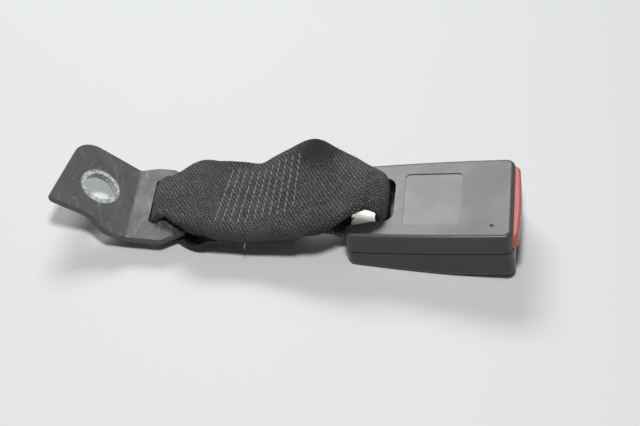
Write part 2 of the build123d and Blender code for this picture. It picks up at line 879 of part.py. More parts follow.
def flag_plane():
    """Plane of the flag: origin at the bend's end, x away from the slot, y towards -Y."""
    angle = math.radians(plate_bend_angle)
    reach = plate_bend_radius + plate_thickness
    axis_z = plate_bottom_z() + reach
    x = plate_bend_x - reach * math.sin(angle)
    z = axis_z - reach * math.cos(angle)
    direction = (-math.cos(angle), 0, math.sin(angle))
    normal = (math.sin(angle), 0, math.cos(angle))
    return Plane(origin=(x, 0, z), x_dir=direction, z_dir=normal)


def make_bend():
    """Ring sector that joins the slot part and the flag."""
    inner = plate_bend_radius
    outer = inner + plate_thickness
    axis_z = plate_bottom_z() + outer
    low, high = plate_bend_near_y, plate_bend_far_y
    ring = rod_y(plate_bend_x, axis_z, outer, low, high)
    ring -= rod_y(plate_bend_x, axis_z, inner, low - 1, high + 1)
    angle = math.radians(plate_bend_angle)
    reach = 3 * outer
    wedge = [
        (plate_bend_x, axis_z),
        (plate_bend_x, axis_z - reach),
        (plate_bend_x - reach * math.sin(angle), axis_z - reach * math.cos(angle)),
    ]
    return ring & side_slab(wedge, low - 1, high + 1)


def make_anchor_plate():
    flag = flag_plane().location * mirror(flag_part(), Plane.XZ)
    return slot_part() + make_bend() + flag


# ------------------------------------------------------------------ assembly
def make_parts():
    housed = {
        "back_cover": make_back_cover(),
        "front_cover": make_front_cover(),
        "buckle_frame": make_buckle_frame(),
        "latch_plate": make_latch_plate(),
        "latch_pivot_pin": make_latch_pivot_pin(),
        "latch_spring": make_latch_spring(),
        "release_button": make_release_button(),
        "button_spring_left": make_button_spring(1),
        "button_spring_right": make_button_spring(-1),
        "ejector": make_ejector(),
        "ejector_spring": make_ejector_spring(),
        "tongue_guide": make_tongue_guide(),
    }
    parts = {name: IN_HOUSING * solid for name, solid in housed.items()}
    parts["webbing"] = make_webbing()
    parts["anchor_plate"] = make_anchor_plate()
    return parts


def centre_shift(parts):
    """Move that puts the origin under the middle of the whole object."""
    boxes = [part.bounding_box() for part in parts.values()]
    low = [min(getattr(box.min, axis) for box in boxes) for axis in "XYZ"]
    high = [max(getattr(box.max, axis) for box in boxes) for axis in "XY"]
    return Pos(-(low[0] + high[0]) / 2, -(low[1] + high[1]) / 2, -low[2])


parts = make_parts()
shift = centre_shift(parts)
os.makedirs("parts", exist_ok=True)
for name, part in parts.items():
    export_step(shift * part, f"parts/{name}.step")
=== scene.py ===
import json
import math

import bpy
import numpy as np
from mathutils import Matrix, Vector, noise
from mathutils.bvhtree import BVHTree


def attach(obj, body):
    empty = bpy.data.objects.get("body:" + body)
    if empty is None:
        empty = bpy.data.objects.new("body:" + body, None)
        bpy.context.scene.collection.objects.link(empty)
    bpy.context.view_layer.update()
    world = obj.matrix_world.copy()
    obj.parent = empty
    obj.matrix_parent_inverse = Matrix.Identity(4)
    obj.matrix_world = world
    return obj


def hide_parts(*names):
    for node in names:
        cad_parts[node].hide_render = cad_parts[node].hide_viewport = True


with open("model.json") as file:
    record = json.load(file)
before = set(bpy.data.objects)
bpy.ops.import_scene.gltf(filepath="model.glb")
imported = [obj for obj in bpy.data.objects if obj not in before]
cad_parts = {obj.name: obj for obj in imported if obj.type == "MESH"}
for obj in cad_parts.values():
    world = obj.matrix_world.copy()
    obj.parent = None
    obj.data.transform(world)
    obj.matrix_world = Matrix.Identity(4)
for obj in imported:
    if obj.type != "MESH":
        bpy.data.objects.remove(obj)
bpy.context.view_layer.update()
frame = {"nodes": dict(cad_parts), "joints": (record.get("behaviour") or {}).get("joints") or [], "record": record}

# Seat belt buckle on a short webbing strap with a bolted anchor plate.
# Sizes below are millimetres, and MM turns them into the scene's metres.
MM = 0.001
MICRON = 0.000001
nodes = frame["nodes"]
joint_places = {joint["name"]: joint.get("pos_m") for joint in frame["joints"]}
mounts = {mount["name"]: mount for mount in frame["record"]["mounts"]}
ANCHOR_FOLD_X = -67.5        # where the strap's own drawing has the anchor's fold
ORIGIN_X = joint_places["anchor_fold"][0] / MM - ANCHOR_FOLD_X

# ------------------------------------------------------------------- camera
CAMERA_TARGET = (ORIGIN_X, -0.72, 10.0)
CAMERA_ELEVATION = math.radians(46.53)
CAMERA_YAW = math.radians(5.72)
CAMERA_DISTANCE = 798.4
SENSOR_WIDTH = 36.0
IMAGE_WIDTH_PX = 640
FOCAL_LENGTH_PX = 1794
FOCAL_LENGTH = SENSOR_WIDTH * FOCAL_LENGTH_PX / IMAGE_WIDTH_PX
CLIP_START = 0.01            # metres

# ------------------------------------------------------------------- lights
KEY_PLACE = (30.0, -290.0, 850.0)            # overhead, a little towards the camera
KEY_SIZE = 150.0
KEY_POWER = 4.75                             # watts
PANEL_PLACE = (-230.0, 700.0, 700.0)         # behind, where the cover's top mirrors it
PANEL_SIZE = (560.0, 300.0)
PANEL_POWER = 5.6
AMBIENT = 0.08
BACKDROP = (0.86, 0.87, 0.88)
FLOOR_COLOUR = (0.80, 0.815, 0.82)
FLOOR_ROUGHNESS = 0.9
FLOOR_SIZE = 8.0             # metres

# -------------------------------------------------------------------- strap
WEBBING_WIDTH = 47.0
WEBBING_THICKNESS = 1.1
PLY_STEP = 1.15
FOLD_HALF_WIDTH = 12.2       # gathered for the slots
FOLD_CROWN = 0.8
FOLD_STEPS = 8               # between the stations round a bar
ANCHOR_FOLD_RADIUS = 7.15
ANCHOR_FLOOR_Z = 0.65        # the webbing's middle below the anchor's bar
FRAME_FOLD_X = 24.5
FRAME_FOLD_Z = 10.5
FRAME_FOLD_RADIUS = 4.9
EDGE_TURN = math.radians(165)  # how far a gathered edge curls under
CURL_SHARE = 0.57            # of the bend's radius: the width that a quarter turn hides
ACROSS = 60                  # mesh steps across the webbing
ALONG = 0.75                 # mesh step along it
CURVE_STEPS = 24             # between two stations, before the even steps
SMOOTH_ANGLE = math.radians(50)
SEWN_BEND_X = -29.0          # the stack lies level up to here, then rises
SEWN_FRONT_X = -9.0
SEWN_PLACES = (SEWN_FRONT_X, -16.0, -23.0, SEWN_BEND_X, -36.0)
SEWN_LEVEL_Z = 13.9
SEWN_RISE = 9.6
SEWN_ROLL = 0.28
SEWN_CROWN = 0.1
MARGIN_Y = -15.0             # the near margin droops outside the stitching
MARGIN_DROOP = 1.5
DROOP_LOST = 0.6             # share of the droop that is gone where the stack has risen
DROOP_POWER = 1.3
STITCH_ROWS = 11
FIRST_ROW = ((-41.1, 18.0), (-45.5, -17.3))  # far and near ends, X and Y
LAST_ROW = ((-10.9, 18.2), (-11.2, -11.5))
STITCH_LENGTH = 2.3
STITCH_GAP = 0.7
STITCH_SWAY = 0.2
STITCH_POINTS = 7
STITCH_WOBBLE = (0.15, 0.25)  # along a row as a share of the pitch, and aside
WOBBLE_CHANGE = 1.7          # how fast it changes from stitch to stitch
STITCH_ARCH = 1.5            # in thread radii, above ends that sink into the weave
STITCH_SINK = 0.9
THREAD_RADIUS = 0.26
LOOSE_END = (
    (-30.7, -22.6, 11.9),
    (-30.6, -23.9, 11.3),
    (-30.9, -24.5, 10.3),
    (-30.5, -24.8, 9.3),
)
ABOVE_ALL = 60.0             # where the rays that find the strap's surface start
RIPPLE_HEIGHT = 0.3          # soft unevenness of the worn webbing
RIPPLE_SPACING = 11.0
RIPPLE_REACH = (-58.0, 18.0)  # it fades out before both folds
# Painted shade: a soft dark patch at the top of the strap's arch.
SHADED_ARCH_PLACE = (-3.5, 18.0, 28.0)
SHADED_ARCH_SIZE = (12.5, 11.5, 14.0)
# Painted shade along the strap's near margin, where the webbing rolls down.
SHADED_MARGIN_Y = (-22.5, -14.5)
WEAVE_RIB = 1.1              # across the webbing
WEAVE_FLOAT = 1.75           # along it
WEAVE_STEP = 0.42            # of a float, from one rib to the next
WEAVE_DRIFT = 1.1            # in floats

# ------------------------------------------------------------------ housing
LABEL_ALONG = (-48.2, -23.0)  # from the release end
LABEL_HALF_WIDTH = 15.5
LABEL_FLOOR = 12.65          # above the tongue's slot
COVER_TOP = 13.0
SLOT_SHADE_ALONG = (-56.5, -52.5)  # painted shade: the frame turns dark at its slot's front
SLOT_SHADE_FADE = (1.0, 3.0)     # to its rear and to its front

# ------------------------------------------------------------- anchor plate
BARE_RING = (9.6, 10.1)      # radii between which the worn paint round the bolt hole sets in
RAGGED_EDGE = 1.2            # how far that edge wanders inwards

# ------------------------------------------------------- grain and scratches
MOTTLE_CELLS = 40.0          # cells of the grain to one cell of its mottle
SCRATCH_SETS = ((0.5, 0.25), (2.1, 0.35))  # each set's turn, and its stretch along Y


# ------------------------------------------------------------ scene helpers
def select_only(thing):
    bpy.ops.object.select_all(action="DESELECT")
    thing.select_set(True)
    bpy.context.view_layer.objects.active = thing


def look_at(thing, place, target):
    thing.location = place
    thing.rotation_euler = (target - place).to_track_quat("-Z", "Y").to_euler()


def add_camera():
    data = bpy.data.cameras.new("camera")
    data.sensor_width = SENSOR_WIDTH
    data.lens = FOCAL_LENGTH
    data.clip_start = CLIP_START
    camera = bpy.data.objects.new("camera", data)
    bpy.context.scene.collection.objects.link(camera)
    target = Vector(CAMERA_TARGET) * MM
    back = Vector((
        math.sin(CAMERA_YAW) * math.cos(CAMERA_ELEVATION),
        -math.cos(CAMERA_YAW) * math.cos(CAMERA_ELEVATION),
        math.sin(CAMERA_ELEVATION),
    ))
    look_at(camera, target + back * CAMERA_DISTANCE * MM, target)
    bpy.context.scene.camera = camera


def add_area_light(name, place, power, width, height=None):
    """Round lamp, or a rectangular one where a height is given."""
    data = bpy.data.lights.new(name, "AREA")
    data.shape = "DISK" if height is None else "RECTANGLE"
    data.size = width * MM
    if height is not None:
        data.size_y = height * MM
    data.energy = power
    lamp = bpy.data.objects.new(name, data)
    bpy.context.scene.collection.objects.link(lamp)
    look_at(lamp, Vector(place) * MM, Vector(CAMERA_TARGET) * MM)


def add_world():
    world = bpy.data.worlds.new("studio")
    bpy.context.scene.world = world
    world.use_nodes = True
    tree = world.node_tree
    tree.nodes.clear()
    path = tree.nodes.new("ShaderNodeLightPath")
    ambient = put(tree, "ShaderNodeBackground", {"Color": (*BACKDROP, 1), "Strength": AMBIENT})
    seen = put(tree, "ShaderNodeBackground", {"Color": (*BACKDROP, 1), "Strength": 1.0})
    mirrored = calc(tree, "MAXIMUM", path.outputs["Is Glossy Ray"], path.outputs["Is Transmission Ray"])
    shown = calc(tree, "MAXIMUM", path.outputs["Is Camera Ray"], mirrored)
    mix = put(tree, "ShaderNodeMixShader", {0: shown, 1: ambient.outputs[0], 2: seen.outputs[0]})
    out = tree.nodes.new("ShaderNodeOutputWorld")
    tree.links.new(mix.outputs[0], out.inputs["Surface"])


# ------------------------------------------------------------- node helpers
def put(tree, kind, inputs=None, **properties):
    """Adds a shader node; an input given a socket is linked, and any other value is set."""
    made = tree.nodes.new(kind)
    for name, value in properties.items():
        setattr(made, name, value)
    for name, value in (inputs or {}).items():
        if isinstance(value, bpy.types.NodeSocket):
            tree.links.new(value, made.inputs[name])
        else:
            made.inputs[name].default_value = value
    return made


def calc(tree, operation, a, b=0.0, c=0.0, clamp=False):
    """Arithmetic on sockets or numbers, as one Math node."""
    made = put(tree, "ShaderNodeMath", {0: a, 1: b, 2: c}, operation=operation, use_clamp=clamp)
    return made.outputs[0]


def blend_colours(tree, share, first, second):
    """The first colour at a share of 0, and the second at 1."""
    made = put(tree, "ShaderNodeMix", {0: share, 6: first, 7: second}, data_type="RGBA")
    return made.outputs[2]


def remap(tree, value, low, high, to_low=0.0, to_high=1.0):
    """Takes low..high smoothly to to_low..to_high, and stays within these."""
    inputs = {"Value": value, "From Min": low, "From Max": high, "To Min": to_low, "To Max": to_high}
    made = put(tree, "ShaderNodeMapRange", inputs, interpolation_type="SMOOTHSTEP")
    return made.outputs[0]


def new_group(name, inputs, outputs):
    """Empty shader node group with float or vector sockets."""
    group = bpy.data.node_groups.new(name, "ShaderNodeTree")
    for label, default in inputs.items():
        kind = "NodeSocketVector" if default is None else "NodeSocketFloat"
        socket = group.interface.new_socket(name=label, in_out="INPUT", socket_type=kind)
        if default is not None:
            socket.default_value = default
    for label in outputs:
        group.interface.new_socket(name=label, in_out="OUTPUT", socket_type="NodeSocketFloat")
    return group, group.nodes.new("NodeGroupInput"), group.nodes.new("NodeGroupOutput")


def use_group(tree, name, inputs):
    return put(tree, "ShaderNodeGroup", inputs, node_tree=bpy.data.node_groups[name])


def new_material(name, colour, roughness, **settings):
    """Material with one Principled shader; constant finishes are set on its own sockets."""
    material = bpy.data.materials.new(name)
    material.use_nodes = True
    tree = material.node_tree
    shader = tree.nodes["Principled BSDF"]
    shader.inputs["Base Color"].default_value = (*colour, 1)
    shader.inputs["Roughness"].default_value = roughness
    for label, value in settings.items():
        shader.inputs[label.replace("_", " ").title().replace("Ior", "IOR")].default_value = value
    return material, tree, shader


def object_place(tree):
    return put(tree, "ShaderNodeTexCoord").outputs["Object"]


def bump(tree, shader, height, depth):
    """Feeds a height of 0 to 1, depth metres high, to the shader's normal."""
    made = put(tree, "ShaderNodeBump", {"Height": height, "Distance": depth, "Strength": 1.0})
    tree.links.new(made.outputs[0], shader.inputs["Normal"])


# -------------------------------------------------------- shared node groups
def make_grain_group():
    """Fine moulded or cast grain: a height, and a soft mottling of the colour."""
    group, entry, leave = new_group("grain", {"Place": None, "Size": 0.5}, ["Height", "Mottle"])
    per_metre = calc(group, "DIVIDE", 1 / MM, entry.outputs["Size"])
    cells = put(group, "ShaderNodeTexVoronoi", {"Vector": entry.outputs["Place"], "Scale": per_metre})
    fine = put(group, "ShaderNodeTexNoise", {
        "Vector": entry.outputs["Place"], "Scale": per_metre, "Detail": 3.0, "Roughness": 0.6,
    })
    pebbles = remap(group, cells.outputs["Distance"], 0.1, 0.7, 1.0, 0.0)
    height = calc(group, "MULTIPLY_ADD", fine.outputs["Fac"], 0.6, calc(group, "MULTIPLY", pebbles, 0.4))
    group.links.new(height, leave.inputs["Height"])
    wide = calc(group, "DIVIDE", per_metre, MOTTLE_CELLS)
    mottle = put(group, "ShaderNodeTexNoise", {
        "Vector": entry.outputs["Place"], "Scale": wide, "Detail": 6.0, "Roughness": 0.65,
    })
    group.links.new(remap(group, mottle.outputs["Fac"], 0.3, 0.7), leave.inputs["Mottle"])


def make_scratch_group():
    """Sparse thin scratches, as the level lines of a stretched noise kept in patches."""
    group, entry, leave = new_group(
        "scratches", {"Place": None, "Scale": 60.0, "Width": 0.01, "Amount": 0.5}, ["Mask"]
    )
    total = None
    for turn, stretch in SCRATCH_SETS:
        mapped = put(group, "ShaderNodeMapping", {
            "Vector": entry.outputs["Place"], "Rotation": (0.2, 0.1, turn), "Scale": (1.0, stretch, 1.0),
        })
        lines = put(group, "ShaderNodeTexNoise", {
            "Vector": mapped.outputs[0], "Scale": entry.outputs["Scale"], "Detail": 1.0, "Distortion": 0.4,
        })
        off = calc(group, "ABSOLUTE", calc(group, "SUBTRACT", lines.outputs["Fac"], 0.5))
        off = calc(group, "DIVIDE", off, entry.outputs["Width"])
        line = calc(group, "SUBTRACT", 1.0, off, clamp=True)
        finer = calc(group, "MULTIPLY", entry.outputs["Scale"], 1.7)
        patches = put(group, "ShaderNodeTexNoise", {
            "Vector": mapped.outputs[0], "Scale": finer, "Detail": 2.0,
        })
        low = calc(group, "SUBTRACT", 0.72, calc(group, "MULTIPLY", entry.outputs["Amount"], 0.3))
        high = calc(group, "ADD", low, 0.06)
        kept = put(group, "ShaderNodeMapRange", {
            "Value": patches.outputs["Fac"], "From Min": low, "From Max": high,
        })
        drawn = calc(group, "MULTIPLY", line, kept.outputs[0])
        total = drawn if total is None else calc(group, "MAXIMUM", total, drawn)
    group.links.new(total, leave.inputs["Mask"])


def make_weave_group():
    """Webbing weave: warp ribs whose floats step on from rib to rib, none quite alike."""
    group, entry, leave = new_group(
        "weave", {"Cloth place": None, "Rib": 1.0, "Float": 1.5}, ["Height", "Crest", "Yarn"]
    )
    cloth = entry.outputs["Cloth place"]
    drift = put(group, "ShaderNodeTexNoise", {"Vector": cloth, "Scale": 450.0, "Detail": 2.0})
    split = put(group, "ShaderNodeSeparateXYZ", {0: cloth})
    across_mm = calc(group, "MULTIPLY", split.outputs["X"], 1 / MM)
    across = calc(group, "DIVIDE", across_mm, entry.outputs["Rib"])
    along_mm = calc(group, "MULTIPLY", split.outputs["Y"], 1 / MM)
    along = calc(group, "DIVIDE", along_mm, entry.outputs["Float"])
    along = calc(group, "MULTIPLY_ADD", drift.outputs["Fac"], WEAVE_DRIFT, along)
    rib = calc(group, "FLOOR", across)
    within = calc(group, "FRACT", across)
    rounded = calc(group, "SINE", calc(group, "MULTIPLY", within, math.pi))
    stepped = calc(group, "MULTIPLY_ADD", rib, WEAVE_STEP, along)
    phase = calc(group, "FRACT", stepped)
    lifted = calc(group, "SINE", calc(group, "MULTIPLY", phase, math.pi))
    ridge = calc(group, "POWER", rounded, 0.5)
    high = calc(group, "MULTIPLY", ridge, calc(group, "POWER", lifted, 0.8))
    cell = put(group, "ShaderNodeCombineXYZ", {0: rib, 1: calc(group, "FLOOR", stepped)})
    yarn = put(group, "ShaderNodeTexWhiteNoise", {"Vector": cell.outputs[0]}, noise_dimensions="2D")
    fullness = remap(group, yarn.outputs["Value"], 0.0, 1.0, 0.86, 1.0)
    high = calc(group, "MULTIPLY", high, fullness)
    group.links.new(high, leave.inputs["Height"])
    group.links.new(remap(group, high, 0.2, 0.7), leave.inputs["Crest"])
    group.links.new(yarn.outputs["Value"], leave.inputs["Yarn"])


# ---------------------------------------------------------------- materials
def housing_place(tree, place):
    """Distances in millimetres from the tongue's slot: along the housing, and up from it."""
    slot = mounts["tongue_slot"]
    axis = Vector(slot["axis"])
    inputs = {0: place, 1: tuple(slot["pos_m"])}
    from_slot = put(tree, "ShaderNodeVectorMath", inputs, operation="SUBTRACT")
    found = []
    for direction in (axis, axis.cross(Vector((0, 1, 0)))):
        inputs = {0: from_slot.outputs[0], 1: tuple(direction / MM)}
        measured = put(tree, "ShaderNodeVectorMath", inputs, operation="DOT_PRODUCT")
        found.append(measured.outputs["Value"])
    return found


def label_mask(tree, place):
    """1 on the recessed floor of the label's field, and 0 elsewhere on the cover."""
    along, up = housing_place(tree, place)
    off_centre = calc(tree, "ABSOLUTE", calc(tree, "SUBTRACT", along, sum(LABEL_ALONG) / 2))
    inside = calc(tree, "LESS_THAN", off_centre, (LABEL_ALONG[1] - LABEL_ALONG[0]) / 2)
    split = put(tree, "ShaderNodeSeparateXYZ", {0: place})
    aside = calc(tree, "MULTIPLY", calc(tree, "ABSOLUTE", split.outputs["Y"]), 1 / MM)
    inside = calc(tree, "MULTIPLY", inside, calc(tree, "LESS_THAN", aside, LABEL_HALF_WIDTH))
    sunk = calc(tree, "LESS_THAN", up, (LABEL_FLOOR + COVER_TOP) / 2)
    high = calc(tree, "GREATER_THAN", up, 2 * LABEL_FLOOR - COVER_TOP)
    return calc(tree, "MULTIPLY", inside, calc(tree, "MULTIPLY", sunk, high))


def black_moulding(name, level, grain_size, depth, roughness):
    """Black plastic with a fine spark-eroded grain, sparse scratches and a smoother label field."""
    material, tree, shader = new_material(
        name, (level, level, level * 1.06), roughness, specular_ior_level=0.6
    )
    place = object_place(tree)
    grain = use_group(tree, "grain", {"Place": place, "Size": grain_size})
    scratches = use_group(tree, "scratches", {"Place": place, "Scale": 70.0, "Width": 0.006, "Amount": 0.35})
    dark = (level * 0.92, level * 0.92, level * 0.97, 1)
    light = (level * 1.1, level * 1.1, level * 1.16, 1)
    colour = blend_colours(tree, grain.outputs["Mottle"], dark, light)
    worn = (level * 3.0, level * 3.0, level * 3.1, 1)
    scratched = calc(tree, "MULTIPLY", scratches.outputs["Mask"], 0.5)
    colour = blend_colours(tree, scratched, colour, worn)
    label = label_mask(tree, place)
    field = (level * 2.1, level * 2.1, level * 2.2, 1)
    colour = blend_colours(tree, calc(tree, "MULTIPLY", label, 0.25), colour, field)
    tree.links.new(colour, shader.inputs["Base Color"])
    rough = remap(tree, grain.outputs["Mottle"], 0.0, 1.0, roughness - 0.02, roughness + 0.03)
    smoother = calc(tree, "MULTIPLY_ADD", label, -0.03, rough)
    tree.links.new(smoother, shader.inputs["Roughness"])
    bump(tree, shader, grain.outputs["Height"], depth)
    return material


def red_moulding():
    """Red acetal of the push button, faintly mottled and grained."""
    material, tree, shader = new_material("button_red", (0.50, 0.11, 0.09), 0.45)
    place = object_place(tree)
    grain = use_group(tree, "grain", {"Place": place, "Size": 0.45})
    dark = (0.44, 0.095, 0.078, 1)
    light = (0.55, 0.13, 0.105, 1)
    colour = blend_colours(tree, grain.outputs["Mottle"], dark, light)
    tree.links.new(colour, shader.inputs["Base Color"])
    rough = remap(tree, grain.outputs["Mottle"], 0.0, 1.0, 0.40, 0.50)
    tree.links.new(rough, shader.inputs["Roughness"])
    bump(tree, shader, grain.outputs["Height"], 10 * MICRON)
    return material


def plated_steel(name, level, roughness):
    """Zinc plated steel: faint rolling lines, smudges, and painted shade at the front of the frame's slot."""
    material, tree, shader = new_material(name, (level,) * 3, roughness, metallic=0.8)
    place = object_place(tree)
    stretched = put(tree, "ShaderNodeMapping", {"Vector": place, "Scale": (60.0, 900.0, 900.0)})
    lines = put(tree, "ShaderNodeTexNoise", {
        "Vector": stretched.outputs[0], "Scale": 1.0, "Detail": 4.0,
    })
    grain = use_group(tree, "grain", {"Place": place, "Size": 0.8})
    warm = (level, level * 0.985, level * 0.95, 1)
    dull = (level * 0.55, level * 0.54, level * 0.50, 1)
    smudges = put(tree, "ShaderNodeTexNoise", {
        "Vector": place, "Scale": 190.0, "Detail": 5.0, "Roughness": 0.7,
    })
    smudged = remap(tree, smudges.outputs["Fac"], 0.38, 0.62)
    smudged = calc(tree, "MAXIMUM", smudged, grain.outputs["Mottle"])
    colour = blend_colours(tree, smudged, warm, dull)
    # Painted shade: the frame turns nearly black at its slot's front, deep under the webbing.
    along = housing_place(tree, place)[0]
    rear, front = SLOT_SHADE_ALONG
    begun = remap(tree, along, rear - SLOT_SHADE_FADE[0], rear, 0.0, 0.9)
    lasting = remap(tree, along, front, front + SLOT_SHADE_FADE[1], 1.0, 0.0)
    slot_shade = (0.02, 0.02, 0.02, 1)
    colour = blend_colours(tree, calc(tree, "MULTIPLY", begun, lasting), colour, slot_shade)
    tree.links.new(colour, shader.inputs["Base Color"])
    rough = remap(tree, lines.outputs["Fac"], 0.3, 0.7, roughness - 0.08, roughness + 0.12)
    tree.links.new(rough, shader.inputs["Roughness"])
    bump(tree, shader, lines.outputs["Fac"], 10 * MICRON)
    return material


def natural_moulding():
    """Undyed plastic of the hidden guide and ejector."""
    material, tree, shader = new_material(
        "natural_plastic", (0.62, 0.60, 0.54), 0.4, subsurface_weight=0.05
    )
    grain = use_group(tree, "grain", {"Place": object_place(tree), "Size": 0.4})
    dark = (0.58, 0.56, 0.50, 1)
    light = (0.68, 0.66, 0.60, 1)
    colour = blend_colours(tree, grain.outputs["Mottle"], dark, light)
    tree.links.new(colour, shader.inputs["Base Color"])
    bump(tree, shader, grain.outputs["Height"], 8 * MICRON)
    return material


def bolt_distance(tree, place):
    """Distance in metres from the bolt hole's axis."""
    hole = mounts["anchor_bolt_hole"]
    inputs = {0: place, 1: tuple(hole["pos_m"])}
    from_hole = put(tree, "ShaderNodeVectorMath", inputs, operation="SUBTRACT")
    inputs = {0: from_hole.outputs[0], 1: tuple(hole["axis"])}
    away = put(tree, "ShaderNodeVectorMath", inputs, operation="CROSS_PRODUCT")
    distance = put(tree, "ShaderNodeVectorMath", {0: away.outputs[0]}, operation="LENGTH")
    return distance.outputs["Value"]


def painted_plate():
    """Black paint on steel: scratched, and rubbed to metal round the bolt hole."""
    material, tree, shader = new_material("plate_paint", (0.05, 0.05, 0.05), 0.42)
    place = object_place(tree)
    grain = use_group(tree, "grain", {"Place": place, "Size": 0.35})
    scratches = use_group(tree, "scratches", {"Place": place, "Scale": 130.0, "Width": 0.014, "Amount": 0.7})
    ragged = put(tree, "ShaderNodeTexNoise", {"Vector": place, "Scale": 700.0, "Detail": 3.0})
    distance = bolt_distance(tree, place)
    uneven = calc(tree, "MULTIPLY_ADD", ragged.outputs["Fac"], RAGGED_EDGE * MM, distance)
    ring = remap(tree, uneven, BARE_RING[0] * MM, BARE_RING[1] * MM, 1.0, 0.0)
    patchy = remap(tree, ragged.outputs["Fac"], 0.35, 0.62, 0.35, 1.0)
    bare = calc(tree, "MULTIPLY", ring, patchy)
    dark = (0.050, 0.050, 0.052, 1)
    light = (0.082, 0.082, 0.084, 1)
    scratch = (0.22, 0.225, 0.23, 1)
    metal = (0.50, 0.52, 0.53, 1)
    paint = blend_colours(tree, grain.outputs["Mottle"], dark, light)
    scratched = calc(tree, "MULTIPLY", scratches.outputs["Mask"], 0.6)
    paint = blend_colours(tree, scratched, paint, scratch)
    colour = blend_colours(tree, bare, paint, metal)
    tree.links.new(colour, shader.inputs["Base Color"])
    tree.links.new(calc(tree, "MULTIPLY", bare, 0.85), shader.inputs["Metallic"])
    rough = remap(tree, grain.outputs["Mottle"], 0.0, 1.0, 0.42, 0.56)
    tree.links.new(rough, shader.inputs["Roughness"])
    bump(tree, shader, grain.outputs["Height"], 20 * MICRON)
    return material


def arch_shade_mask(tree, place):
    """Soft patch of painted shade at the top of the strap's arch."""
    centre = (Vector(SHADED_ARCH_PLACE) + Vector((ORIGIN_X, 0, 0))) * MM
    away = put(tree, "ShaderNodeVectorMath", {0: place, 1: tuple(centre)}, operation="SUBTRACT")
    share = tuple(1 / (size * MM) for size in SHADED_ARCH_SIZE)
    scaled = put(tree, "ShaderNodeVectorMath", {0: away.outputs[0], 1: share}, operation="MULTIPLY")
    distance = put(tree, "ShaderNodeVectorMath", {0: scaled.outputs[0]}, operation="LENGTH")
    ragged = put(tree, "ShaderNodeTexNoise", {"Vector": place, "Scale": 160.0, "Detail": 3.0})
    uneven = calc(tree, "MULTIPLY_ADD", ragged.outputs["Fac"], 0.5, distance.outputs["Value"])
    return remap(tree, uneven, 0.55, 1.35, 1.0, 0.0)


def woven_webbing():
    """Black polyester webbing gone greyish brown, with painted shade at the arch and along the near margin."""
    material, tree, shader = new_material(
        "webbing_weave", (0.08, 0.075, 0.073), 0.8, sheen_weight=0.08, specular_ior_level=0.2
    )
    cloth = put(tree, "ShaderNodeUVMap", uv_map="cloth").outputs[0]
    weave = use_group(tree, "weave", {"Cloth place": cloth, "Rib": WEAVE_RIB, "Float": WEAVE_FLOAT})
    place = object_place(tree)
    dust = use_group(tree, "grain", {"Place": place, "Size": 0.35}).outputs["Mottle"]
    gaps = blend_colours(tree, dust, (0.010, 0.0095, 0.010, 1), (0.016, 0.015, 0.015, 1))
    yarns = blend_colours(tree, dust, (0.070, 0.0665, 0.0655, 1), (0.138, 0.130, 0.127, 1))
    rubbed = calc(tree, "POWER", weave.outputs["Yarn"], 4.0)
    yarns = blend_colours(tree, rubbed, yarns, (0.150, 0.142, 0.138, 1))
    colour = blend_colours(tree, weave.outputs["Crest"], gaps, yarns)
    split = put(tree, "ShaderNodeSeparateXYZ", {0: cloth})
    # Painted shade along the near margin, where the webbing rolls down; the arch's painted shade takes the same
    # dark colour.
    outer, inner = (y * MM for y in SHADED_MARGIN_Y)
    margin = remap(tree, split.outputs["X"], outer, inner, 0.75, 0.0)
    # Painted shade at the top of the strap's arch.
    arch_shade = calc(tree, "MULTIPLY", arch_shade_mask(tree, place), 0.92)
    painted_shade = (0.012, 0.0115, 0.012, 1)
    colour = blend_colours(tree, calc(tree, "MAXIMUM", margin, arch_shade), colour, painted_shade)
    tree.links.new(colour, shader.inputs["Base Color"])
    bump(tree, shader, weave.outputs["Height"], 400 * MICRON)
    return material


def sewing_thread():
    """Grey twisted thread."""
    material, tree, shader = new_material("thread", (0.26, 0.25, 0.24), 0.6, sheen_weight=0.2)
    place = object_place(tree)
    twist = put(tree, "ShaderNodeTexWave", {"Vector": place, "Scale": 900.0, "Distortion": 2.0})
    dark = (0.15, 0.145, 0.14, 1)
    light = (0.36, 0.35, 0.34, 1)
    colour = blend_colours(tree, twist.outputs["Fac"], dark, light)
    tree.links.new(colour, shader.inputs["Base Color"])
    bump(tree, shader, twist.outputs["Fac"], 80 * MICRON)
    return material


def paint_node(node_name, material):
    """Gives a CAD node its material, and leaves its mesh alone."""
    nodes[node_name].data.materials[0] = material


# ------------------------------------------------------------- strap section
class Station:
    """A place on the strap's run: its side view point and the shape of its section there."""

    def __init__(self, x, z, half, crown=0.3, roll=0.0, droop=0.0, bend=1.4):
        self.values = (x, z, half, crown, roll, droop, bend)


def fold_stations(x, z, radius, start, end):
    """Stations round a bar; angles in degrees, measured in X and Z."""
    stations = []
    for step in range(FOLD_STEPS + 1):
        angle = math.radians(start + (end - start) * step / FOLD_STEPS)
        side = (x + radius * math.cos(angle), z + radius * math.sin(angle))
        stations.append(Station(*side, FOLD_HALF_WIDTH, crown=FOLD_CROWN))
    return stations


def sewn_station(x, ply):
    """Station in the sewn stack; ply 0 is the top one."""
    rise = max(0.0, (x - SEWN_BEND_X) / (SEWN_FRONT_X - SEWN_BEND_X))
    height = SEWN_LEVEL_Z + SEWN_RISE * rise - ply * PLY_STEP
    droop = MARGIN_DROOP * (1 - DROOP_LOST * rise)
    roll = SEWN_ROLL * rise
    return Station(x, height, WEBBING_WIDTH / 2, crown=SEWN_CROWN, roll=roll, droop=droop)


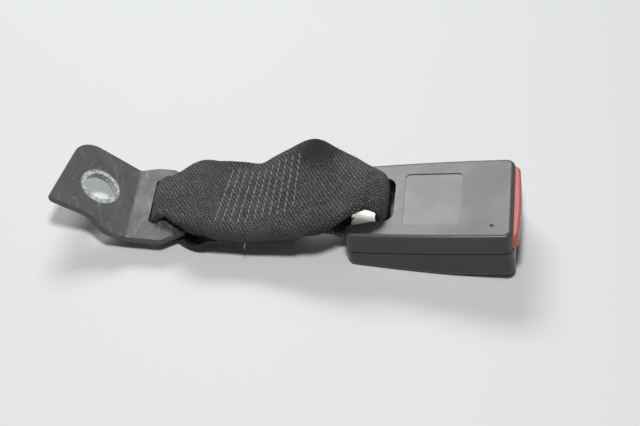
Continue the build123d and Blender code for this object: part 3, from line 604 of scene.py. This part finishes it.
def strap_stations():
    """The whole strap as one run: under, round the anchor's bar, over, round the frame's bar, under."""
    floor = WEBBING_THICKNESS / 2
    anchor_z = ANCHOR_FOLD_RADIUS + ANCHOR_FLOOR_Z
    run = [sewn_station(x, 2) for x in (*SEWN_PLACES, -41)]
    run += [
        Station(-46, 8.6, 22.8, crown=0.1),
        Station(-50, 4.2, 21.8, crown=0.1, bend=0.8),
        Station(-54, 1.5, 20.5, crown=0.1, bend=0.7),
        Station(-58, floor + 0.1, 18.6, crown=0.1, bend=0.65),
        Station(-63, floor + 0.05, 15.2, crown=0.1, bend=0.7),
    ]
    run += fold_stations(ANCHOR_FOLD_X, anchor_z, ANCHOR_FOLD_RADIUS, 270, 90)
    run += [
        Station(-64.0, 15.3, 15.6, crown=1.0),
        Station(-60.5, 16.8, 18.6, crown=1.4),
        Station(-56, 17.4, 21.2, crown=1.6),
        Station(-52, 16.3, 22.6, crown=1.2),
        Station(-48, 14.7, 23.2, crown=0.6),
    ]
    run += [sewn_station(x, 0) for x in (-43, *reversed(SEWN_PLACES))]
    run += [
        Station(-4, 26.0, 23.4, crown=0.6, roll=0.28),
        Station(0, 27.2, 22.6, crown=0.9, roll=0.25),
        Station(4.5, 28.2, 20.8, crown=1.3, roll=0.18),
        Station(9, 29.6, 18.6, crown=1.8, roll=0.12),
        Station(14, 31.2, 16.2, crown=2.4, roll=0.05),
        Station(18, 32.0, 14.6, crown=2.8, bend=2.4),
        Station(22, 31.6, 13.3, crown=3.0, bend=2.8),
        Station(25.8, 29.4, 12.6, crown=2.4, bend=2.4),
        Station(28.8, 25.4, FOLD_HALF_WIDTH, crown=1.4),
        Station(30.1, 20.5, FOLD_HALF_WIDTH, crown=1.0),
        Station(30.0, 15.0, FOLD_HALF_WIDTH, crown=0.9),
    ]
    run += fold_stations(FRAME_FOLD_X, FRAME_FOLD_Z, FRAME_FOLD_RADIUS, 0, -90)
    level = FRAME_FOLD_Z - FRAME_FOLD_RADIUS
    run += [
        Station(19, level, FOLD_HALF_WIDTH, crown=0.5),
        Station(14.5, level + 0.3, FOLD_HALF_WIDTH, crown=0.5),
        Station(11, 7.4, 13.2, crown=0.6),
        Station(7, 11.6, 14.8, crown=0.6, roll=0.04),
        Station(3, 15.8, 17.0, crown=0.5, roll=0.10),
        Station(-1, 19.4, 19.6, crown=0.4, roll=0.18),
        Station(-5, 21.7, 22.0, crown=0.3, roll=0.25),
    ]
    run += [sewn_station(x, 1) for x in (*SEWN_PLACES, -43)]
    return np.array([station.values for station in run])


def smooth_run(stations):
    """Stations at even steps along a Catmull-Rom curve through the given ones."""
    padded = np.vstack([2 * stations[0] - stations[1], stations, 2 * stations[-1] - stations[-2]])
    fine = []
    for i in range(1, len(padded) - 2):
        before, here, there, after = padded[i - 1 : i + 3]
        for t in np.linspace(0, 1, CURVE_STEPS, endpoint=False):
            fine.append(0.5 * (
                2 * here + (there - before) * t
                + (2 * before - 5 * here + 4 * there - after) * t**2
                + (3 * here - before - 3 * there + after) * t**3
            ))
    fine = np.array(fine + [stations[-1]])
    steps = np.hypot(np.diff(fine[:, 0]), np.diff(fine[:, 1]))
    length = np.concatenate([[0], np.cumsum(steps)])
    places = np.linspace(0, length[-1], int(length[-1] / ALONG) + 1)
    even = np.column_stack([np.interp(places, length, fine[:, k]) for k in range(fine.shape[1])])
    return even, places


def half_section(reach, crown, bend):
    """One side of the section, from the middle out: (y, n) of webbing that folds under past its reach.

    A short curl hides its length cubed over six times the bend's radius squared.
    """
    count = ACROSS // 2
    half = WEBBING_WIDTH / 2
    step = half / count
    hidden = half - reach
    if hidden < CURL_SHARE * bend:
        start = half - (6 * bend**2 * max(hidden, 0.0)) ** (1 / 3)
    else:
        start = reach - bend
    y, n = [0.0], [0.0]
    for i in range(count):
        out = (i + 0.5) * step
        slope = 2 * crown / reach * min(out / reach, 1.0)
        curl = min(max(out - start, 0.0) / bend, EDGE_TURN)
        angle = slope + curl
        y.append(y[-1] + step * math.cos(angle))
        n.append(n[-1] - step * math.sin(angle))
    return np.array(y), np.array(n)


def ripple(x, y):
    """Unevenness that all plies share, so that they stay apart."""
    rear, front = RIPPLE_REACH
    fade = min(max(min(x - rear, front - x) / RIPPLE_SPACING, 0.0), 1.0)
    return RIPPLE_HEIGHT * fade * noise.noise(Vector((x, y, 0)) / RIPPLE_SPACING)


def strap_grid():
    """Middle surface of the strap: points along and across it, and the distance along."""
    run, places = smooth_run(strap_stations())
    ahead = np.gradient(run[:, :2], axis=0)
    grid = []
    for row, (dx, dz) in zip(run, ahead):
        x, z, half, crown, roll, droop, bend = row
        size = math.hypot(dx, dz)
        nx, nz = -dz / size, dx / size
        side_y, side_n = half_section(half, crown, bend)
        y = np.concatenate([-side_y[:0:-1], side_y])
        n = np.concatenate([side_n[:0:-1], side_n])
        margin = np.clip((MARGIN_Y - y) / (WEBBING_WIDTH / 2 + MARGIN_Y), 0, 1)
        n = n - droop * margin**DROOP_POWER * np.sign(nz)
        side_x = x + n * nx
        uneven = np.array([ripple(*point) for point in zip(side_x, y)])
        grid.append(np.column_stack([side_x + ORIGIN_X, y, z + n * nz + roll * y + uneven]))
    return np.array(grid), places


def make_strap(material):
    """The webbing as one sheet of mesh, given its thickness."""
    grid, places = strap_grid()
    rows, columns = grid.shape[:2]
    across = np.linspace(-WEBBING_WIDTH / 2, WEBBING_WIDTH / 2, columns)
    verts = [Vector(point) * MM for point in grid.reshape(-1, 3)]
    faces = []
    for i in range(rows - 1):
        for j in range(columns - 1):
            a = i * columns + j
            faces.append((a, a + 1, a + columns + 1, a + columns))
    mesh = bpy.data.meshes.new("webbing_strap")
    mesh.from_pydata(verts, [], faces)
    uv = mesh.uv_layers.new(name="cloth")
    for loop in mesh.loops:
        i, j = divmod(loop.vertex_index, columns)
        uv.data[loop.index].uv = (across[j] * MM, places[i] * MM)
    strap = bpy.data.objects.new("webbing_strap", mesh)
    bpy.context.scene.collection.objects.link(strap)
    mesh.materials.append(material)
    select_only(strap)
    solid = strap.modifiers.new("thickness", "SOLIDIFY")
    solid.thickness = WEBBING_THICKNESS * MM
    solid.offset = 0
    bpy.ops.object.modifier_apply(modifier=solid.name)
    bpy.ops.object.shade_smooth_by_angle(angle=SMOOTH_ANGLE)
    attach(strap, "strap")
    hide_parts("webbing")
    return strap


def seams():
    """Far and near ends of the slanting rows of stitches."""
    found = []
    for i in range(STITCH_ROWS):
        share = i / (STITCH_ROWS - 1)
        far, near = (Vector(a).lerp(Vector(b), share) for a, b in zip(FIRST_ROW, LAST_ROW))
        found.append((far, near))
    return found


def add_strand(curve, points):
    strand = curve.splines.new("POLY")
    strand.points.add(len(points) - 1)
    for point, place in zip(strand.points, points):
        point.co = (*place, 1)


def sew(curve, surface, start, end, side):
    """Stitches of one seam, laid on the top (side 1) or the underside (side -1) of the stack."""
    ahead = (end - start).normalized()
    aside = Vector((-ahead.y, ahead.x))
    pitch = STITCH_LENGTH + STITCH_GAP
    for k in range(int((end - start).length / pitch)):
        wobble = noise.noise(Vector((start.x, start.y, k)) * WOBBLE_CHANGE)
        along_row, off_row = (size * wobble for size in STITCH_WOBBLE)
        first = start + ahead * (k + along_row) * pitch + aside * off_row
        points = []
        for share in np.linspace(0, 1, STITCH_POINTS):
            spot = first + ahead * STITCH_LENGTH * share + aside * STITCH_SWAY * (2 * share - 1)
            above = Vector((spot.x + ORIGIN_X, spot.y, ABOVE_ALL * side)) * MM
            hit = surface.ray_cast(above, Vector((0, 0, -side)))[0]
            lift = THREAD_RADIUS * (STITCH_ARCH * math.sin(math.pi * share) - STITCH_SINK)
            points.append(hit + Vector((0, 0, side * lift)) * MM)
        add_strand(curve, points)


def make_stitches(strap, material):
    """Sewing thread through the three plies, with one loose end at the near margin."""
    surface = BVHTree.FromObject(strap, bpy.context.evaluated_depsgraph_get())
    curve = bpy.data.curves.new("sewing_thread", "CURVE")
    curve.dimensions = "3D"
    curve.bevel_depth = THREAD_RADIUS * MM
    curve.bevel_resolution = 1
    curve.use_fill_caps = True
    for side in (1, -1):
        for start, end in seams():
            sew(curve, surface, start, end, side)
    add_strand(curve, [Vector((x + ORIGIN_X, y, z)) * MM for x, y, z in LOOSE_END])
    thread = bpy.data.objects.new("sewing_thread", curve)
    bpy.context.scene.collection.objects.link(thread)
    select_only(thread)
    bpy.ops.object.convert(target="MESH")
    thread = bpy.context.active_object
    thread.data.materials.append(material)
    bpy.ops.object.shade_smooth()
    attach(thread, "strap")


def add_floor():
    bpy.ops.mesh.primitive_plane_add(size=FLOOR_SIZE, location=(0, 0, 0))
    floor = bpy.context.active_object
    floor.name = "floor"
    floor.data.materials.append(new_material("floor_paper", FLOOR_COLOUR, FLOOR_ROUGHNESS)[0])


# ----------------------------------------------------------------- assembly
def build():
    make_grain_group()
    make_scratch_group()
    make_weave_group()
    cover = black_moulding(
        "cover_plastic", level=0.024, grain_size=0.45, depth=25 * MICRON, roughness=0.36
    )
    for name in ("back_cover", "front_cover"):
        paint_node(name, cover)
    paint_node("release_button", red_moulding())
    steel = plated_steel("plated_steel", level=0.9, roughness=0.38)
    for name in ("buckle_frame", "latch_plate", "latch_pivot_pin"):
        paint_node(name, steel)
    wire = plated_steel("spring_wire", level=0.55, roughness=0.28)
    for name in ("latch_spring", "button_spring_left", "button_spring_right", "ejector_spring"):
        paint_node(name, wire)
    natural = natural_moulding()
    for name in ("ejector", "tongue_guide"):
        paint_node(name, natural)
    paint_node("anchor_plate", painted_plate())
    strap = make_strap(woven_webbing())
    make_stitches(strap, sewing_thread())
    add_floor()
    add_world()
    add_camera()
    add_area_light("key", KEY_PLACE, KEY_POWER, KEY_SIZE)
    add_area_light("panel", PANEL_PLACE, PANEL_POWER, *PANEL_SIZE)
    bpy.context.scene.view_settings.view_transform = "Standard"


build()
